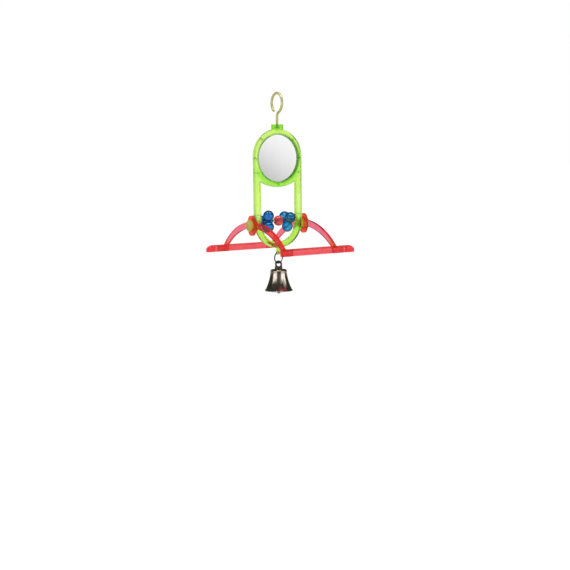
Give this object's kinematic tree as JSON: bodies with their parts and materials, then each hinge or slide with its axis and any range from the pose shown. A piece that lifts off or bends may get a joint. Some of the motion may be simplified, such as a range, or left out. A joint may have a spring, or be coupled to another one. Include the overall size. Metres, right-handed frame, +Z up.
{
  "type": "bird mirror with bell",
  "caption": "Hanging cage-bird mirror: a loop hook carries a translucent frame with a round mirror, spinning beads, a rocking perch and a small bell on a ring.",
  "frame": {"origin": "the point inside the top of the hook loop where it bears on a cage bar", "axes": "+Z up along the stem, +X to the right along the perch and bead axles, the front mirror faces -Y"},
  "size_m": [0.1006, 0.1097, 0.1912],
  "materials": {
    "brass_wire": "drawn brass wire",
    "lime_plastic": "translucent lime moulding",
    "mirror_glass": "silvered disc",
    "bright_steel": "bright steel",
    "blue_plastic": "translucent blue moulding",
    "red_bead": "translucent red bead",
    "red_plastic": "translucent red moulding",
    "dark_steel": "dull grey wire",
    "bell_bronze": "antique bronze wash"
  },
  "bodies": {
    "hook": {"hook": "brass_wire"},
    "frame": {"frame_front": "lime_plastic", "frame_rear": "lime_plastic", "mirror_front": "mirror_glass", "mirror_rear": "mirror_glass", "bead_axle": "bright_steel"},
    "perch": {"left_arm": "red_plastic", "right_arm": "red_plastic", "front_bar": "red_plastic", "rear_bar": "red_plastic"},
    "left_spinner": {"left_spinner": "blue_plastic"},
    "middle_bead": {"middle_bead": "red_bead"},
    "right_spinner": {"right_spinner": "blue_plastic"},
    "ring": {"jump_ring": "dark_steel"},
    "bell": {"bell_shell": "bell_bronze", "bell_hanger": "bell_bronze"},
    "clapper": {"clapper": "bright_steel"}
  },
  "joints": [
    {"name": "hook_swivel", "type": "hinge", "parent": "hook", "child": "frame", "pos_m": [0, 0, -0.029], "axis": [0, 0, 1], "continuous": true},
    {"name": "perch_rock", "type": "hinge", "parent": "frame", "child": "perch", "pos_m": [0, 0, -0.12194], "axis": [1, 0, 0], "range_deg": [-30, 30]},
    {"name": "left_spin", "type": "hinge", "parent": "frame", "child": "left_spinner", "pos_m": [0, 0, -0.11854], "axis": [1, 0, 0], "continuous": true},
    {"name": "middle_spin", "type": "hinge", "parent": "frame", "child": "middle_bead", "pos_m": [0, 0, -0.11854], "axis": [1, 0, 0], "continuous": true},
    {"name": "right_spin", "type": "hinge", "parent": "frame", "child": "right_spinner", "pos_m": [0, 0, -0.11854], "axis": [1, 0, 0], "continuous": true},
    {"name": "ring_swing", "type": "hinge", "parent": "frame", "child": "ring", "pos_m": [0, 0, -0.14869], "axis": [1, 0, 0], "range_deg": [-20, 20]},
    {"name": "bell_swing", "type": "hinge", "parent": "ring", "child": "bell", "pos_m": [0, 0, -0.15389], "axis": [-0.225, 0.9744, 0], "range_deg": [-25, 25]},
    {"name": "clapper_swing", "type": "hinge", "parent": "bell", "child": "clapper", "pos_m": [0, 0, -0.17107], "axis": [1, 0, 0], "range_deg": [-28, 28]}
  ]
}
